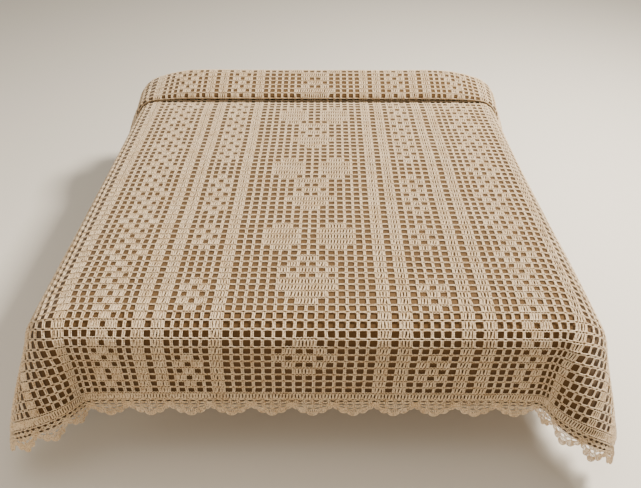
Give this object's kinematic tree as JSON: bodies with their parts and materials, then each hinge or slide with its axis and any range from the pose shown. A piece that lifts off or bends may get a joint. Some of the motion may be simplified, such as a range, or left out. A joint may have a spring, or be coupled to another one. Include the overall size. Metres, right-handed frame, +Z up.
{
  "type": "crochet bedspread on a bed",
  "caption": "Filet crochet bedspread with flower and leaf panels and a scalloped edging, draped over a brown blanket on a plain bed with its head end turned back.",
  "frame": {"origin": "on the floor, under the middle of the whole object's footprint", "axes": "+Z up, +Y from the foot of the bed towards its head, +X to the right seen from the foot"},
  "size_m": [2.1224, 2.1684, 0.6957],
  "materials": {
    "crochet_cotton": "matt undyed cotton crochet",
    "brown_cover": "matt woven brown cotton",
    "plinth_board": "dark stained board, satin"
  },
  "bodies": {
    "root": {"bedspread": "crochet_cotton", "scalloped_edging": "crochet_cotton", "under_blanket": "brown_cover", "mattress": "brown_cover", "bed_base": "brown_cover", "plinth": "plinth_board"}
  },
  "joints": []
}
